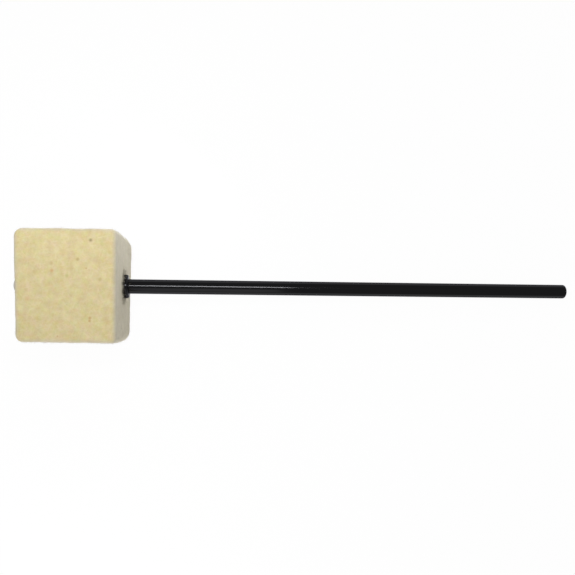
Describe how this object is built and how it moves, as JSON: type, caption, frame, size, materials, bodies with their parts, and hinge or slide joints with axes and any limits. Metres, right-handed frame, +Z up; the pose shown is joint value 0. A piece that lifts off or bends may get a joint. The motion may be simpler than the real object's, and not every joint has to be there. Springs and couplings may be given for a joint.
{
  "type": "bass drum beater",
  "caption": "Bass drum beater: a square block of pressed wool felt held by a dome nut on the threaded end of a straight black steel rod.",
  "frame": {"origin": "centre of the rod where its straight shank ends at the domed free tip", "axes": "+X along the rod and out of its free tip, with the felt head at -X; +Z up, square to the felt's upper striking face; +Y across the head"},
  "size_m": [0.2482, 0.046, 0.046],
  "materials": {
    "black_steel": "gloss",
    "wool_felt": "matte",
    "bright_plate": "satin"
  },
  "bodies": {
    "rod": {"beater_rod": "black_steel", "stop_collar": "black_steel"},
    "head": {"felt_head": "wool_felt"},
    "washers": {"flat_washer": "bright_plate", "lock_washer": "bright_plate"},
    "nut": {"dome_nut": "bright_plate"}
  },
  "joints": [
    {"name": "head_turn", "type": "hinge", "parent": "rod", "child": "head", "pos_m": [-0.2209, 0, 0], "axis": [1, 0, 0], "continuous": true},
    {"name": "washer_slide", "type": "slide", "parent": "rod", "child": "washers", "axis": [-1, 0, 0], "range_m": [0, 0.0051]},
    {"name": "nut_turn", "type": "hinge", "parent": "washers", "child": "nut", "pos_m": [-0.2384, 0, 0], "axis": [-1, 0, 0], "range_deg": [0, 1440]}
  ],
  "couplings": [
    {"joint": "washer_slide", "follows": "nut_turn", "m_per_rad": 0.00020213}
  ]
}
